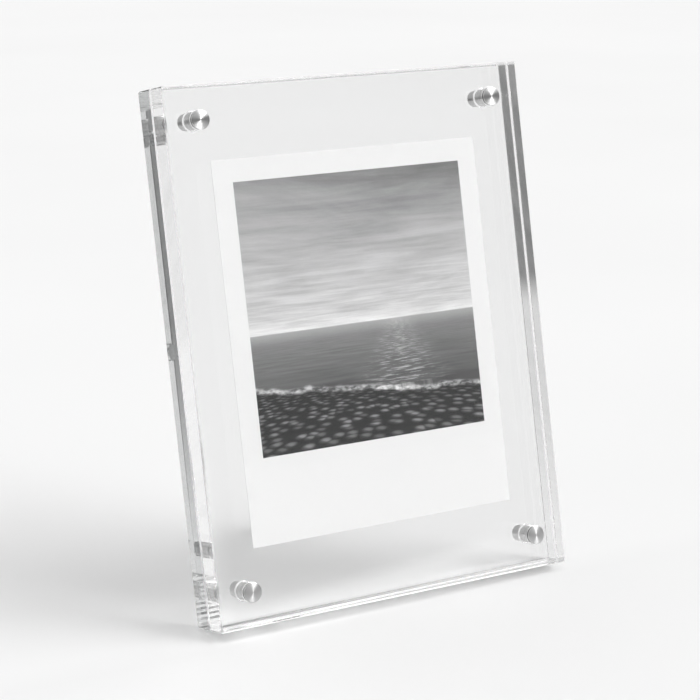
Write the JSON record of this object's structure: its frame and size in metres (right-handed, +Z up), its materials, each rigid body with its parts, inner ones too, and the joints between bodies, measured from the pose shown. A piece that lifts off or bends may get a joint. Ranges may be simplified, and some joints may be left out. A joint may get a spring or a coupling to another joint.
{
  "type": "acrylic photo frame",
  "caption": "Clear acrylic desk photo frame: a print clamped between a front and a rear block by turned steel corner posts, leaning back on a screw-in rod with a rubber tip.",
  "frame": {"origin": "middle of the flat ground along the rear block's bottom edge, on which the frame stands", "axes": "+Z up from the table, -Y towards the viewer of the print, +X to the viewer's right; the frame leans back 12 degrees towards +Y"},
  "size_m": [0.136, 0.1008, 0.1754],
  "materials": {
    "clear_acrylic": "polished clear cast acrylic, faces and edges",
    "print_paper": "white semi-matte photo paper",
    "stainless_steel": "turned stainless steel, spun faces",
    "black_rubber": "matt black rubber"
  },
  "bodies": {
    "rear_assembly": {"rear_block": "clear_acrylic", "barrel_insert_top_left": "stainless_steel", "barrel_insert_top_right": "stainless_steel", "barrel_insert_bottom_left": "stainless_steel", "barrel_insert_bottom_right": "stainless_steel", "leg_socket": "stainless_steel"},
    "front_assembly": {"front_block": "clear_acrylic", "front_sleeve_top_left": "stainless_steel", "front_sleeve_top_right": "stainless_steel", "front_sleeve_bottom_left": "stainless_steel", "front_sleeve_bottom_right": "stainless_steel"},
    "print": {"photo_print": "print_paper"},
    "washer_top_left": {"screw_washer_top_left": "black_rubber"},
    "screw_top_left": {"cap_screw_top_left": "stainless_steel"},
    "washer_top_right": {"screw_washer_top_right": "black_rubber"},
    "screw_top_right": {"cap_screw_top_right": "stainless_steel"},
    "washer_bottom_left": {"screw_washer_bottom_left": "black_rubber"},
    "screw_bottom_left": {"cap_screw_bottom_left": "stainless_steel"},
    "washer_bottom_right": {"screw_washer_bottom_right": "black_rubber"},
    "screw_bottom_right": {"cap_screw_bottom_right": "stainless_steel"},
    "leg_collar": {"leg_washer": "black_rubber"},
    "leg": {"support_leg": "stainless_steel", "leg_tip": "black_rubber"}
  },
  "joints": [
    {"name": "front_lift_off", "type": "slide", "parent": "rear_assembly", "child": "front_assembly", "axis": [0, -0.9781, 0.2079], "range_m": [0, 0.03]},
    {"name": "print_draw", "type": "slide", "parent": "rear_assembly", "child": "print", "axis": [0, 0.2079, 0.9781], "range_m": [0, 0.152]},
    {"name": "screw_travel_top_left", "type": "slide", "parent": "front_assembly", "child": "washer_top_left", "axis": [0, -0.9781, 0.2079], "range_m": [0, 0.005]},
    {"name": "screw_turn_top_left", "type": "hinge", "parent": "washer_top_left", "child": "screw_top_left", "pos_m": [-0.056, 0.0175, 0.16424], "axis": [0, -0.9781, 0.2079], "range_deg": [0, 3610]},
    {"name": "screw_travel_top_right", "type": "slide", "parent": "front_assembly", "child": "washer_top_right", "axis": [0, -0.9781, 0.2079], "range_m": [0, 0.005]},
    {"name": "screw_turn_top_right", "type": "hinge", "parent": "washer_top_right", "child": "screw_top_right", "pos_m": [0.056, 0.0175, 0.16424], "axis": [0, -0.9781, 0.2079], "range_deg": [0, 3610]},
    {"name": "screw_travel_bottom_left", "type": "slide", "parent": "front_assembly", "child": "washer_bottom_left", "axis": [0, -0.9781, 0.2079], "range_m": [0, 0.005]},
    {"name": "screw_turn_bottom_left", "type": "hinge", "parent": "washer_bottom_left", "child": "screw_bottom_left", "pos_m": [-0.056, -0.01431, 0.01459], "axis": [0, -0.9781, 0.2079], "range_deg": [0, 3610]},
    {"name": "screw_travel_bottom_right", "type": "slide", "parent": "front_assembly", "child": "washer_bottom_right", "axis": [0, -0.9781, 0.2079], "range_m": [0, 0.005]},
    {"name": "screw_turn_bottom_right", "type": "hinge", "parent": "washer_bottom_right", "child": "screw_bottom_right", "pos_m": [0.056, -0.01431, 0.01459], "axis": [0, -0.9781, 0.2079], "range_deg": [0, 3610]},
    {"name": "leg_travel", "type": "slide", "parent": "rear_assembly", "child": "leg_collar", "axis": [0, 0.5658, -0.8245], "range_m": [0, 0.0072]},
    {"name": "leg_turn", "type": "hinge", "parent": "leg_collar", "child": "leg", "pos_m": [0, 0.01921, 0.08567], "axis": [0, 0.5658, -0.8245], "range_deg": [0, 3250]}
  ],
  "couplings": [
    {"joint": "screw_turn_top_left", "follows": "screw_travel_top_left", "rad_per_m": 12566},
    {"joint": "screw_turn_top_right", "follows": "screw_travel_top_right", "rad_per_m": 12566},
    {"joint": "screw_turn_bottom_left", "follows": "screw_travel_bottom_left", "rad_per_m": 12566},
    {"joint": "screw_turn_bottom_right", "follows": "screw_travel_bottom_right", "rad_per_m": 12566},
    {"joint": "leg_turn", "follows": "leg_travel", "rad_per_m": 7854}
  ]
}
